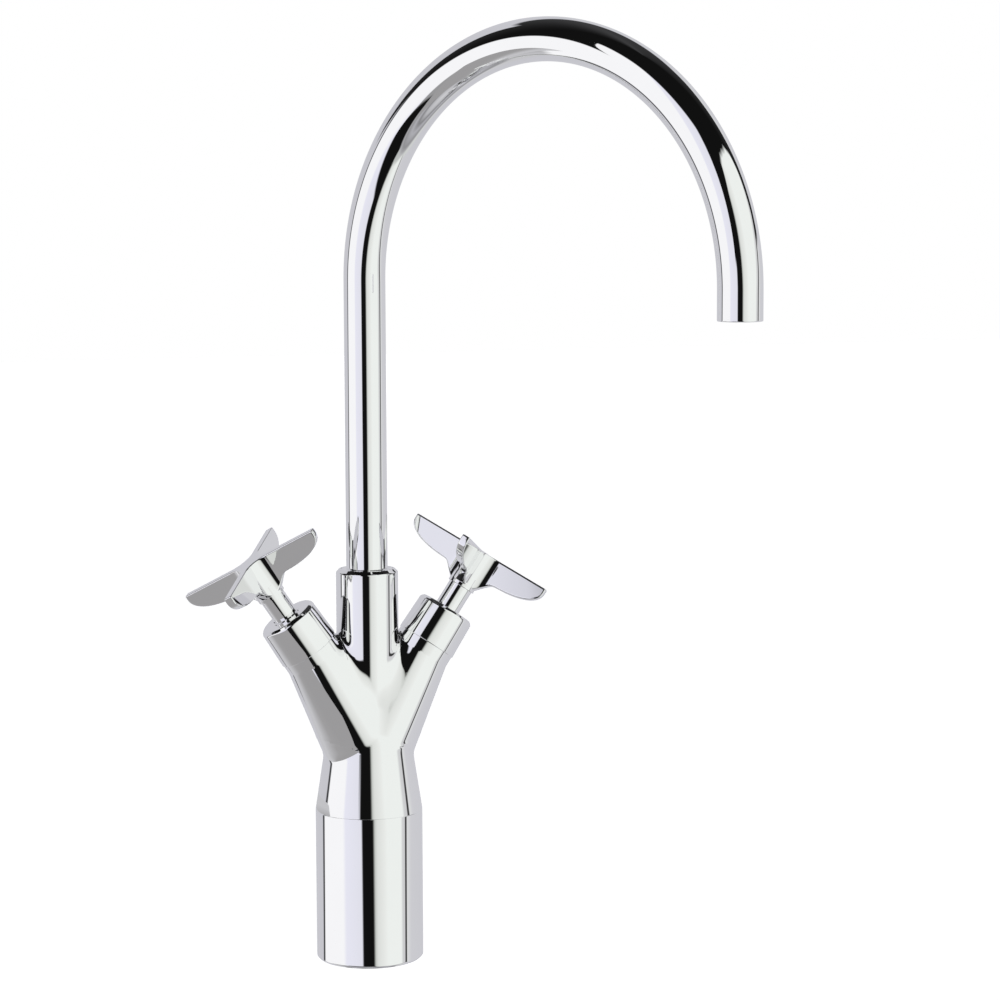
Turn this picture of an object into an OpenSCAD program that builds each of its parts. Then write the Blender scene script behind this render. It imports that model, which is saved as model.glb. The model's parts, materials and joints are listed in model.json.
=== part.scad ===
// Two-handle basin tap: a turned column, a Y-shaped body with two valve arms,
// a tall swan-neck spout that swivels, and two cross handles on quarter-turn valves.
// The frame: origin on the basin under the column's centre, +Z up, the user at -Y,
// the hot arm towards -X and the cold arm towards +X.

/* [Spout] */
// Outer diameter of the swan-neck tube
tube_d = 20; // [18:0.5:22]
// Wall of the tube
tube_wall = 1.2; // [0.8:0.1:1.5]
// Radius of the bend, at the middle of the tube
bend_r = 110.4; // [70:0.1:130]
// Height of the straight riser above the body's collar
riser_h = 139.1; // [80:0.1:200]
// Straight length of tube after the bend, down to the outlet
outlet_len = 13.6; // [12:0.1:80]
// Turn of the spout from straight ahead, towards the cold side, as it stands
stand_turn = 31; // [-60:1:60]
// Turn that the stop allows either side of straight ahead
limit_turn = 60; // [30:1:75]
// Length of the ferrule brazed to the foot of the tube
foot_h = 29; // [26:0.5:34]
// Radial clearance of the ferrule in its socket
foot_clearance = 0.08; // [0.05:0.01:0.1]
// Radial clearance of the tube in the gland nut
tube_clearance = 0.1; // [0.05:0.01:0.1]

/* [Column] */
// Outer diameter of the column
base_d = 52; // [48:0.5:60]
// Height of the column
column_h = 73.5; // [60:0.5:120]
// Diameter of the hollow below, where the hoses pass
base_bore_d = 40; // [38:0.5:42]
// Gap between the top of that hollow and the body's spigot
bore_gap = 0.5; // [0.3:0.1:1]
// Thickness of the flange that the body is clamped to
flange_t = 15.5; // [12:0.5:20]
// Chamfer round the foot
foot_chamfer = 1.2; // [0.5:0.1:2]
// Mean diameter of the rubber ring under the column
gasket_d = 46.5; // [46:0.1:47]
// Width of the rubber ring under the column
gasket_w = 2.4; // [1.6:0.1:2.6]
// Depth of the groove that holds the rubber ring
gasket_depth = 2; // [1.5:0.1:3]

/* [Body] */
// Diameter at the waist
waist_d = 44; // [40:0.5:46]
// Height of the waist above the column
waist_rise = 25.7; // [20:0.1:27]
// Height above the column at which the arms' axes cross
cross_rise = 36.5; // [34:0.1:40]
// Height of the collar's top above the column
collar_rise = 118; // [114:0.5:130]
// Wall of the collar round the spout's socket
collar_wall = 2.5; // [2.3:0.1:4]
// Bevel round the top of the collar
collar_bevel = 1.5; // [0.5:0.1:2]
// Radial room in the spout's socket round the tube
socket_room = 2.5; // [2.3:0.1:3]
// Depth of the spout's socket
socket_depth = 41.5; // [40:0.5:43]
// Diameter of the spigot that stands in the column's flange
spigot_d = 31; // [30:0.5:34]
// Length of the spigot below the joint with the column
spigot_h = 23.5; // [23:0.5:26]
// Radial clearance between spigot, flange and clamping ring
spigot_clearance = 0.05; // [0.02:0.01:0.1]
// Outer diameter of the clamping ring
clamp_ring_d = 38; // [36:0.5:39]

/* [Arms] */
// Tilt of the arms' axes from upright
arm_tilt = 34; // [30:0.5:38]
// Diameter of the arm at its end
arm_d = 29.2; // [28:0.1:30]
// Distance from the crossing to the joint with the bonnet
arm_len = 53; // [51:0.5:58]
// Length of the arm's straight end, from the taper to the joint with the bonnet
straight_h = 6.5; // [5:0.5:8]
// Lean of the tapered part inwards from the arm's axis
kink = 4.8; // [4:0.1:5.4]
// Half angle of the tapered part
taper = 6.6; // [6:0.1:7]
// Length of the tapered part down to its root
root_len = 54; // [52:0.5:56]
// Diameter of the cartridge's chamber in the arm
chamber_d = 19; // [18.5:0.1:20]
// Depth of that chamber below the joint with the bonnet
chamber_depth = 27; // [26:0.5:28]
// Outer diameter of the threaded nose that carries the bonnet
nose_d = 24; // [23.5:0.1:24.6]
// Length of the threaded nose
nose_h = 7; // [5:0.5:8]

/* [Ports] */
// Distance of each hose port from the axis
port_x = 8.5; // [8:0.1:9]
// Bore of each hose port, M10x1
port_d = 9; // [8.6:0.1:9.2]
// Depth of the hose ports and of the stud's hole
port_depth = 14; // [12:0.5:15]
// Distance of the fixing stud's hole from the axis
stud_y = 8.5; // [8:0.1:9.5]
// Bore of the fixing stud's hole, M8
stud_d = 6.8; // [6.6:0.1:7]
// Diameter of the water passages
passage_d = 7; // [5:0.5:7.5]
// Diameter of the cross passages to the spout's socket
cross_passage_d = 6; // [5:0.5:7]

/* [Bonnets] */
// Diameter of the bonnet at its lower edge
bonnet_d = 30; // [29.4:0.1:31]
// Diameter of the bonnet below its top bevel
bonnet_top_d = 28.8; // [28:0.1:29.4]
// Length of the bonnet
bonnet_h = 19.5; // [19:0.1:22]
// Bevel round the bonnet's top
bonnet_bevel = 1.5; // [0.5:0.1:2]
// Thickness of the bonnet's top
bonnet_top_t = 3.2; // [2.5:0.1:4]
// Width of the countersink round the stem
countersink = 1; // [0.5:0.1:1.5]

/* [Valves] */
// Outer diameter of the ceramic discs
disc_d = 14.6; // [14:0.1:15]
// Thickness of each ceramic disc
disc_t = 3; // [2.5:0.1:3.5]
// Height of the rubber seal under the lower disc
seal_h = 5.7; // [5:0.1:6.5]
// Diameter of the spindle in the cartridge
spindle_d = 9; // [8.6:0.1:9.4]
// Diameter of the spindle's splined end
spline_d = 8; // [7.4:0.1:8.4]
// Radial clearance of the spindle in the cartridge
spindle_clearance = 0.06; // [0.03:0.01:0.1]
// Quarter turn of the valves from shut to full open
valve_turn = 90; // [80:1:95]
// Outer diameter of the stem that shows between bonnet and handle
stem_d = 12.4; // [12:0.1:13]

/* [Handles] */
// Radius from the stem's axis to the tip of a wing
wing_r = 38; // [32:0.5:40]
// Thickness of a wing
wing_t = 4.2; // [3.5:0.1:5]
// Height of a wing at its very tip
wing_tip_h = 2; // [1:0.1:4]
// Height of the wings where they leave the hub
wing_root_h = 12; // [10:0.5:13]
// Radius of the hollow between two wings, seen from above
wing_fillet = 9; // [7:0.5:10]
// Height of the whole handle, from its hub's foot to its flat top
handle_h = 20; // [18:0.5:22]
// Length of stem that shows between bonnet and handle
stem_gap = 12.5; // [10:0.5:16]
// Diameter of the hub's foot
hub_d = 14; // [13.6:0.1:15]
// Turn of the wings about the stem, as it stands
wing_turn = 55; // [0:1:90]

/* [Hidden] */
$fn = 96;

// Finishes
chrome = [0.82, 0.83, 0.84];
brass = [0.78, 0.62, 0.32];
steel = [0.62, 0.63, 0.65];
rubber = [0.10, 0.10, 0.10];
ceramic = [0.90, 0.88, 0.82];
nylon = [0.88, 0.88, 0.85];
mesh_grey = [0.70, 0.71, 0.72];

// Small values that many pieces share
over = 1;
fit_gap = 0.05;
hot = -1;
cold = 1;

// Heights up the column and the body
cross_z = column_h + cross_rise;
collar_z = column_h + collar_rise;
waist_z = column_h + waist_rise;
spigot_z = column_h - spigot_h;
flange_z = column_h - flange_t;
seal_z = column_h - flange_t / 2;
socket_z = collar_z - socket_depth;
socket_d = tube_d + 2 * socket_room;
collar_d = socket_d + 2 * collar_wall;

// The core above the waist follows the column's cone, then steps in to the collar
core_taper = (base_d - waist_d) / waist_rise;
shoulder_z = cross_z;
shoulder_d = waist_d - core_taper * (shoulder_z - waist_z);
throat_rise = 14;
throat_z = cross_z + throat_rise;

// The O-ring between the spigot and the flange
seal_wire = 1.8;
seal_groove_depth = 1.7;
seal_groove_h = 2.4;

// The clamping ring and its two spanner slots
clamp_ring_h = flange_z - spigot_z;
clamp_room_d = clamp_ring_d + 1.2;
bore_z = spigot_z - bore_gap;
slot_w = 4;
slot_depth = 2.5;

// The spout's tube, drawn with its reach along +X and then turned
spout_reach = 2 * bend_r;
bend_z = collar_z + riser_h;
straight_ahead = -90;
spout_turn = straight_ahead + stand_turn;

// The ferrule and what holds it in the socket
foot_z = socket_z + 4;
foot_top = foot_z + foot_h;
foot_d = socket_d - 2 * foot_clearance;
foot_ledge = 4;
tube_z = foot_z + foot_ledge;
slide_t = 1.5;
nut_z = foot_top + slide_t + 2 * fit_gap;
nut_d = socket_d - 2 * fit_gap;
nut_bore_d = tube_d + 2 * tube_clearance;
nut_bevel = 1.2;
ring_wire = 1.8;
ring_groove_depth = 2;
ring_groove_h = 2.2;
ring_rise = 5;
ring_pitch = 6;
ring_z = [foot_z + ring_rise, foot_z + ring_rise + ring_pitch];

// The stop: a screw in the back of the collar whose tip runs in a slot of the ferrule
stop_screw_d = 4;
stop_rise = 21.5;
stop_z = foot_z + stop_rise;
stop_slot_h = stop_screw_d + 0.6;
stop_slot_depth = 2;
stop_tip_r = socket_d / 2 - 1.5;
stop_slack = 2;
stop_half = limit_turn + asin(stop_screw_d / 2 / stop_tip_r) + stop_slack;
hex_d = 2;

// The aerator in the outlet
aerator_h = 10;
aerator_d = tube_d - 2 * tube_wall - 2 * fit_gap;
aerator_bore_d = aerator_d - 2.6;
insert_d = aerator_bore_d - 2 * fit_gap;
insert_h = 6;
insert_up = 1.5;
insert_hole_d = 1.1;
insert_rings = [[2.4, 6], [4.6, 12]];
washer_t = 1.8;

// The arm's cone touches the ball that its straight end touches, and ends inside that end
mitre_s = arm_len - straight_h;
mitre_r = arm_d / 2 / cos(taper);
cone_over = 4.5;

// Distances up the arm's axis, measured from the crossing
seat_s = arm_len - chamber_depth;
nose_s = arm_len + nose_h;
bonnet_s = arm_len + bonnet_h;
handle_s = bonnet_s + stem_gap;
handle_top_s = handle_s + handle_h;
lower_disc_s = seat_s + seal_h + fit_gap;
upper_disc_s = lower_disc_s + disc_t + fit_gap;
driver_s = upper_disc_s + disc_t + fit_gap;
driver_t = 3;
glide_s = driver_s + driver_t + fit_gap;
glide_t = 0.9;
shoulder_s = glide_s + glide_t + fit_gap;
cartridge_s = seat_s + 0.3;
cartridge_top_s = nose_s + 6;
hex_head_t = 4;
hex_head_d = 23.2;
cartridge_d = chamber_d - 2 * fit_gap;
cartridge_waist_d = chamber_d - 2.2;
thread_s = shoulder_s + 2;
disc_room_d = disc_d + 0.5;
window_d = 4;
neck_d = 14;

// The spindle's clip, seals and drive pins
clip_s = cartridge_top_s + 0.3;
clip_t = 0.9;
clip_d = 11;
clip_groove_d = 7;
spindle_wire = 1.2;
spindle_groove_d = 6.4;
spindle_groove_h = 1.6;
spindle_ring_rise = 6;
spindle_ring_pitch = 4;
spindle_ring_s = [shoulder_s + spindle_ring_rise, shoulder_s + spindle_ring_rise + spindle_ring_pitch];
drive_pin_d = 2.6;
drive_pin_h = 2;
drive_pin_r = 4.6;
disc_port_d = 3.4;
disc_port_r = 3.6;
disc_notch_d = 5.4;

// The stem sleeve and the handle's socket
stem_s = clip_s + clip_t + fit_gap;
stem_bore_d = spline_d + 2 * fit_gap;
stem_hole_d = stem_d + 0.6;
socket_h = 12.5;
spindle_top_s = handle_s + socket_h - 1;
handle_screw_d = 4;
handle_screw_up = 3.2;
hub_h = 6;
hub_flare_h = 13.4;
hub_flare_d = 24;

// Passages from the ports to the seats, and from the chambers to the spout's socket
port_meet_s = port_x / sin(arm_tilt);
port_meet_z = cross_z + port_meet_s * cos(arm_tilt);
axial_s = port_meet_s - 2;
axial_d = 8.4;
cross_from_s = seat_s + 10;
cross_from = [cross_from_s * sin(arm_tilt), cross_z + cross_from_s * cos(arm_tilt)];
cross_to = [0, socket_z + 2];
cross_len = norm(cross_to - cross_from);
cross_angle = atan2(cross_from[0] - cross_to[0], cross_to[1] - cross_from[1]);

// The wing's lower edge is a quarter of a full ellipse, from the tip in to the hub,
// as [radius, depth below the top]
edge_steps = 16;
edge_fullness = 2.3;
edge_root_r = hub_flare_d / 2 + 1;
function edge_share(x) = pow(x, 2 / edge_fullness);
wing_edge = [
    for (i = [0 : edge_steps])
        [
            edge_root_r + (wing_r - edge_root_r) * edge_share(cos(90 * i / edge_steps)),
            wing_tip_h + (wing_root_h - wing_tip_h) * edge_share(sin(90 * i / edge_steps))
        ]
];

// A stack on the arm of one side: +Z runs up the arm's axis from the crossing
module on_arm(side) {
    translate([0, 0, cross_z])
        rotate([0, side * arm_tilt, 0])
            children();
}

// What moves with the handle is turned about the arm's axis to the angle at which it stands
module on_valve(side) {
    on_arm(side)
        rotate([0, 0, wing_turn])
            children();
}

// The spout is drawn with its reach along +X
module on_spout() {
    rotate([0, 0, spout_turn])
        children();
}

module ring(outer_d, inner_d, h) {
    difference() {
        cylinder(h = h, d = outer_d);
        translate([0, 0, -over])
            cylinder(h = h + 2 * over, d = inner_d);
    }
}

// A rubber ring of round section lying in a groove of the given diameter
module o_ring(groove_d, wire) {
    rotate_extrude()
        translate([(groove_d + wire) / 2, 0])
            circle(d = wire, $fn = 24);
}

// A groove cut in a shaft
module groove(shaft_d, depth, h) {
    translate([0, 0, -h / 2])
        ring(shaft_d + 2 * over, shaft_d - 2 * depth, h);
}

module base_column() {
    color(chrome)
        difference() {
            rotate_extrude()
                polygon([
                    [0, 0],
                    [base_d / 2 - foot_chamfer, 0],
                    [base_d / 2, foot_chamfer],
                    [base_d / 2, column_h],
                    [0, column_h]
                ]);
            translate([0, 0, -over])
                cylinder(h = bore_z + over, d = base_bore_d);
            translate([0, 0, bore_z - over])
                cylinder(h = flange_z - bore_z + over, d = clamp_room_d);
            translate([0, 0, flange_z - over])
                cylinder(h = flange_t + 2 * over, d = spigot_d + 2 * spigot_clearance);
            translate([0, 0, -over])
                ring(gasket_d + gasket_w, gasket_d - gasket_w, gasket_depth + over);
        }
}

module foot_gasket() {
    color(rubber)
        translate([0, 0, gasket_depth / 10])
            ring(
                gasket_d + gasket_w - 2 * fit_gap,
                gasket_d - gasket_w + 2 * fit_gap,
                gasket_depth - gasket_depth / 10
            );
}

module column_seal() {
    color(rubber)
        translate([0, 0, seal_z])
            o_ring(spigot_d - 2 * seal_groove_depth, seal_wire - 2 * fit_gap);
}

module clamp_ring() {
    color(brass)
        difference() {
            translate([0, 0, spigot_z])
                ring(clamp_ring_d, spigot_d + 2 * spigot_clearance, clamp_ring_h);
            for (turn = [0, 180])
                rotate([0, 0, turn])
                    translate([spigot_d / 2 + over, -slot_w / 2, spigot_z - over])
                        cube([clamp_ring_d, slot_w, slot_depth + over]);
        }
}

module body_core() {
    rotate_extrude()
        polygon([
            [0, spigot_z],
            [spigot_d / 2, spigot_z],
            [spigot_d / 2, column_h],
            [base_d / 2, column_h],
            [waist_d / 2, waist_z],
            [shoulder_d / 2, shoulder_z],
            [collar_d / 2, throat_z],
            [collar_d / 2, collar_z - collar_bevel],
            [collar_d / 2 - collar_bevel, collar_z],
            [0, collar_z]
        ]);
}

// An arm is a straight end and a cone that leans inwards from it. Both touch one ball at the
// place where their axes cross, so they meet all round in one plane.
module arm_solid(side) {
    on_arm(side) {
        translate([0, 0, mitre_s - arm_d / 2])
            cylinder(h = arm_len - mitre_s + arm_d / 2, d = arm_d);
        translate([0, 0, mitre_s])
            rotate([0, -side * kink, 0])
                translate([0, 0, -root_len])
                    cylinder(
                        h = root_len + cone_over,
                        r1 = mitre_r + root_len * tan(taper),
                        r2 = mitre_r - cone_over * tan(taper)
                    );
        translate([0, 0, arm_len - over])
            cylinder(h = nose_h + over, d = nose_d);
    }
}

module arm_cavities(side) {
    on_arm(side) {
        translate([0, 0, seat_s])
            cylinder(h = nose_s - seat_s + over, d = chamber_d);
        translate([0, 0, axial_s])
            cylinder(h = seat_s - axial_s + over, d = axial_d);
    }
    translate([side * port_x, 0, spigot_z - over])
        cylinder(h = port_depth + over, d = port_d);
    translate([side * port_x, 0, spigot_z])
        cylinder(h = port_meet_z - spigot_z, d = passage_d);
    translate([side * cross_from[0], 0, cross_from[1]])
        rotate([0, -side * cross_angle, 0])
            cylinder(h = cross_len, d = cross_passage_d);
}

module valve_body() {
    color(chrome)
        difference() {
            union() {
                body_core();
                arm_solid(hot);
                arm_solid(cold);
            }
            arm_cavities(hot);
            arm_cavities(cold);
            translate([0, 0, socket_z])
                cylinder(h = socket_depth + over, d = socket_d);
            translate([0, stud_y, spigot_z - over])
                cylinder(h = port_depth + over, d = stud_d);
            translate([0, 0, seal_z])
                groove(spigot_d, seal_groove_depth, seal_groove_h);
            translate([0, 0, stop_z])
                rotate([-90, 0, 0])
                    cylinder(h = collar_d, d = stop_screw_d + 2 * fit_gap);
        }
}

module gland_nut() {
    color(chrome)
        difference() {
            translate([0, 0, nut_z])
                ring(nut_d, nut_bore_d, collar_z - nut_z);
            translate([0, 0, collar_z - nut_bevel])
                cylinder(h = nut_bevel + over, d1 = nut_bore_d, d2 = nut_bore_d + 2 * (nut_bevel + over));
        }
}

// A grub screw: a plain shank with a six-sided socket in its outer end
module grub_screw(d, length, key_d) {
    difference() {
        cylinder(h = length, d = d);
        translate([0, 0, length - key_d * 0.8])
            cylinder(h = key_d, d = key_d, $fn = 6);
    }
}

module swivel_stop_screw() {
    color(steel)
        translate([0, 0, stop_z])
            rotate([-90, 0, 0])
                translate([0, 0, stop_tip_r])
                    grub_screw(stop_screw_d, collar_d / 2 - stop_tip_r - over / 2, hex_d);
}

// The tube's mouth: +Z runs from it back up the tube
module on_mouth() {
    translate([spout_reach, 0, bend_z - outlet_len])
        children();
}

module spout_path(d, past) {
    translate([0, 0, tube_z - past])
        cylinder(h = bend_z - tube_z + past, d = d);
    translate([bend_r, 0, bend_z])
        rotate([90, 0, 0])
            rotate_extrude(angle = 180)
                translate([bend_r, 0])
                    circle(d = d);
    on_mouth()
        translate([0, 0, -past])
            cylinder(h = outlet_len + past, d = d);
}

module spout_tube() {
    color(chrome)
        on_spout()
            difference() {
                spout_path(tube_d, 0);
                spout_path(tube_d - 2 * tube_wall, over);
            }
}

// The slot spans the swing, with its middle opposite the spout's reach
module stop_slot() {
    intersection() {
        translate([0, 0, stop_z - stop_slot_h / 2])
            ring(foot_d + 2 * over, foot_d - 2 * stop_slot_depth, stop_slot_h);
        translate([0, 0, stop_z - stop_slot_h])
            linear_extrude(height = 2 * stop_slot_h)
                polygon(concat(
                    [[0, 0]],
                    [for (share = [-1, -0.5, 0, 0.5, 1])
                        foot_d * [cos(180 + share * stop_half), sin(180 + share * stop_half)]]
                ));
    }
}

module spout_foot() {
    color(brass)
        on_spout()
            difference() {
                translate([0, 0, foot_z])
                    cylinder(h = foot_h, d = foot_d);
                translate([0, 0, foot_z - over])
                    cylinder(h = foot_ledge + 2 * over, d = tube_d - 2 * tube_wall);
                translate([0, 0, tube_z])
                    cylinder(h = foot_h, d = tube_d + 2 * fit_gap);
                for (z = ring_z)
                    translate([0, 0, z])
                        groove(foot_d, ring_groove_depth - 0.3, ring_groove_h);
                stop_slot();
            }
}

module spout_seals() {
    color(rubber)
        for (z = ring_z)
            translate([0, 0, z])
                o_ring(foot_d - 2 * (ring_groove_depth - 0.3), ring_wire - 0.4);
}

module slide_ring() {
    color(nylon)
        translate([0, 0, foot_top + fit_gap])
            ring(nut_d - over / 2, tube_d + over, slide_t);
}

module aerator_housing() {
    color(chrome)
        on_spout()
            on_mouth()
                ring(aerator_d, aerator_bore_d, aerator_h);
}

module aerator_insert() {
    color(mesh_grey)
        on_spout()
            on_mouth()
                translate([0, 0, insert_up])
                    difference() {
                        cylinder(h = insert_h, d = insert_d);
                        for (row = insert_rings)
                            for (i = [1 : row[1]])
                                rotate([0, 0, i * 360 / row[1]])
                                    translate([row[0], 0, -over])
                                        cylinder(h = insert_h + 2 * over, d = insert_hole_d, $fn = 24);
                    }
}

module aerator_seal() {
    color(rubber)
        on_spout()
            on_mouth()
                translate([0, 0, aerator_h + fit_gap])
                    ring(aerator_d, aerator_bore_d - over, washer_t);
}

module bonnet(side) {
    color(chrome)
        on_arm(side)
            difference() {
                translate([0, 0, arm_len])
                    rotate_extrude()
                        polygon([
                            [0, 0],
                            [bonnet_d / 2, 0],
                            [bonnet_top_d / 2, bonnet_h - bonnet_bevel],
                            [bonnet_top_d / 2 - bonnet_bevel, bonnet_h],
                            [0, bonnet_h]
                        ]);
                translate([0, 0, arm_len - over])
                    cylinder(h = bonnet_h - bonnet_top_t + over, d = nose_d + 2 * fit_gap);
                translate([0, 0, bonnet_s - bonnet_top_t - over])
                    cylinder(h = bonnet_top_t + 2 * over, d = stem_hole_d);
                translate([0, 0, bonnet_s - countersink])
                    cylinder(
                        h = countersink + over,
                        d1 = stem_hole_d,
                        d2 = stem_hole_d + 2 * (countersink + over)
                    );
            }
}

module cartridge(side) {
    color(brass)
        on_arm(side)
            difference() {
                union() {
                    translate([0, 0, cartridge_s])
                        cylinder(h = thread_s - cartridge_s, d = cartridge_waist_d);
                    translate([0, 0, thread_s])
                        cylinder(h = nose_s - thread_s, d = cartridge_d);
                    translate([0, 0, nose_s])
                        cylinder(h = hex_head_t, d = hex_head_d, $fn = 6);
                    translate([0, 0, nose_s])
                        cylinder(h = cartridge_top_s - nose_s, d = neck_d);
                }
                translate([0, 0, cartridge_s - over])
                    cylinder(h = shoulder_s - cartridge_s + over, d = disc_room_d);
                translate([0, 0, shoulder_s - over])
                    cylinder(
                        h = cartridge_top_s - shoulder_s + 2 * over,
                        d = spindle_d + 2 * spindle_clearance
                    );
                translate([0, 0, upper_disc_s + disc_t / 2])
                    rotate([90, 0, 0])
                        cylinder(h = chamber_d * 2, d = window_d, center = true);
            }
}

module seat_seal(side) {
    color(rubber)
        on_arm(side)
            translate([0, 0, seat_s + fit_gap / 2])
                ring(disc_d, axial_d, seal_h);
}

module lower_disc(side) {
    color(ceramic)
        on_arm(side)
            translate([0, 0, lower_disc_s])
                difference() {
                    cylinder(h = disc_t, d = disc_d);
                    for (turn = [0, 180])
                        rotate([0, 0, turn])
                            translate([disc_port_r, 0, -over])
                                cylinder(h = disc_t + 2 * over, d = disc_port_d);
                }
}

// The upper disc has two notches that clear the ports when the valve opens
module upper_disc(side) {
    color(ceramic)
        on_valve(side)
            translate([0, 0, upper_disc_s])
                difference() {
                    cylinder(h = disc_t, d = disc_d - over / 5);
                    for (turn = [0, 180])
                        rotate([0, 0, turn]) {
                            translate([disc_d / 2, 0, -over])
                                cylinder(h = disc_t + 2 * over, d = disc_notch_d);
                            translate([0, drive_pin_r, disc_t - drive_pin_h])
                                cylinder(h = drive_pin_h + over, d = drive_pin_d + 2 * fit_gap);
                        }
                }
}

module glide_ring(side) {
    color(nylon)
        on_arm(side)
            translate([0, 0, glide_s])
                ring(disc_d, spindle_d + over / 2, glide_t);
}

module spindle(side) {
    color(brass)
        on_valve(side)
            difference() {
                union() {
                    translate([0, 0, driver_s])
                        cylinder(h = driver_t, d = disc_d - over / 5);
                    translate([0, 0, driver_s])
                        cylinder(h = clip_s + over / 2 - driver_s, d = spindle_d);
                    translate([0, 0, driver_s])
                        cylinder(h = spindle_top_s - driver_s, d = spline_d);
                    for (turn = [90, 270])
                        rotate([0, 0, turn])
                            translate([drive_pin_r, 0, driver_s - drive_pin_h + 2 * fit_gap])
                                cylinder(h = drive_pin_h + over, d = drive_pin_d);
                }
                for (s = spindle_ring_s)
                    translate([0, 0, s])
                        groove(spindle_d, (spindle_d - spindle_groove_d) / 2, spindle_groove_h);
                translate([0, 0, clip_s + clip_t / 2])
                    groove(spindle_d, (spindle_d - clip_groove_d) / 2, clip_t + 2 * fit_gap);
            }
}

module spindle_seals(side) {
    color(rubber)
        on_valve(side)
            for (s = spindle_ring_s)
                translate([0, 0, s])
                    o_ring(spindle_groove_d, spindle_wire - fit_gap);
}

// A split spring clip in the spindle's groove, above the cartridge
module spindle_clip(side) {
    color(steel)
        on_valve(side)
            translate([0, 0, clip_s])
                difference() {
                    ring(clip_d, clip_groove_d + 2 * fit_gap, clip_t);
                    translate([0, -drive_pin_d / 2, -over])
                        cube([clip_d, drive_pin_d, clip_t + 2 * over]);
                }
}

module stem(side) {
    color(chrome)
        on_valve(side)
            translate([0, 0, stem_s])
                ring(stem_d, stem_bore_d, handle_s - stem_s);
}

// Seen from above the handle is a cross with hollows of one radius between its wings;
// seen from the side its lower edge curves from the hub out to the thin tips
module handle(side) {
    corner = wing_t / 2 + wing_fillet;
    color(chrome)
        on_valve(side)
            difference() {
                union() {
                    intersection() {
                        translate([0, 0, handle_s])
                            union() {
                                translate([-wing_r, -wing_t / 2, 0])
                                    cube([2 * wing_r, wing_t, handle_h]);
                                translate([-wing_t / 2, -wing_r, 0])
                                    cube([wing_t, 2 * wing_r, handle_h]);
                                difference() {
                                    translate([-corner, -corner, 0])
                                        cube([2 * corner, 2 * corner, handle_h]);
                                    for (x = [-1, 1], y = [-1, 1])
                                        translate([x * corner, y * corner, -over])
                                            cylinder(h = handle_h + 2 * over, r = wing_fillet);
                                }
                            }
                        translate([0, 0, handle_top_s])
                            mirror([0, 0, 1])
                                rotate_extrude()
                                    polygon(concat(
                                        [[0, 0], [wing_r, 0]],
                                        wing_edge,
                                        [
                                            [hub_flare_d / 2, hub_flare_h],
                                            [hub_d / 2, handle_h - hub_h / 4],
                                            [hub_d / 2, handle_h],
                                            [0, handle_h]
                                        ]
                                    ));
                    }
                    translate([0, 0, handle_s])
                        cylinder(h = hub_h, d = hub_d);
                }
                translate([0, 0, handle_s - over])
                    cylinder(h = socket_h + over, d = spline_d + 2 * fit_gap);
                translate([0, 0, handle_s + handle_screw_up])
                    rotate([0, 90, 45])
                        cylinder(h = hub_d, d = handle_screw_d + 2 * fit_gap);
            }
}

// The grub screw sits between two wings at the back of the hub
module handle_screw(side) {
    color(steel)
        on_valve(side)
            translate([0, 0, handle_s + handle_screw_up])
                rotate([0, 90, 45])
                    translate([0, 0, spline_d / 2 + fit_gap])
                        grub_screw(handle_screw_d, (hub_d - spline_d) / 2 - over / 4, hex_d);
}

module hot_bonnet() { bonnet(hot); }
module hot_cartridge() { cartridge(hot); }
module hot_seat_seal() { seat_seal(hot); }
module hot_lower_disc() { lower_disc(hot); }
module hot_upper_disc() { upper_disc(hot); }
module hot_glide_ring() { glide_ring(hot); }
module hot_spindle() { spindle(hot); }
module hot_spindle_seals() { spindle_seals(hot); }
module hot_spindle_clip() { spindle_clip(hot); }
module hot_stem() { stem(hot); }
module hot_handle() { handle(hot); }
module hot_handle_screw() { handle_screw(hot); }
module cold_bonnet() { bonnet(cold); }
module cold_cartridge() { cartridge(cold); }
module cold_seat_seal() { seat_seal(cold); }
module cold_lower_disc() { lower_disc(cold); }
module cold_upper_disc() { upper_disc(cold); }
module cold_glide_ring() { glide_ring(cold); }
module cold_spindle() { spindle(cold); }
module cold_spindle_seals() { spindle_seals(cold); }
module cold_spindle_clip() { spindle_clip(cold); }
module cold_stem() { stem(cold); }
module cold_handle() { handle(cold); }
module cold_handle_screw() { handle_screw(cold); }

base_column();
foot_gasket();
column_seal();
clamp_ring();
valve_body();
gland_nut();
swivel_stop_screw();
spout_tube();
spout_foot();
spout_seals();
slide_ring();
aerator_housing();
aerator_insert();
aerator_seal();
hot_bonnet();
hot_cartridge();
hot_seat_seal();
hot_lower_disc();
hot_upper_disc();
hot_glide_ring();
hot_spindle();
hot_spindle_seals();
hot_spindle_clip();
hot_stem();
hot_handle();
hot_handle_screw();
cold_bonnet();
cold_cartridge();
cold_seat_seal();
cold_lower_disc();
cold_upper_disc();
cold_glide_ring();
cold_spindle();
cold_spindle_seals();
cold_spindle_clip();
cold_stem();
cold_handle();
cold_handle_screw();
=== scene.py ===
"""Two-handle basin tap: the chromed pieces, the finishes and the studio, on the packed frame.

All sizes are in metres, in the frame's own axes: the tap stands on z = 0 round the z axis, its two
arms lean out along x, and the spout is turned from straight ahead, which is -y.
"""

import json
import math

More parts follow.
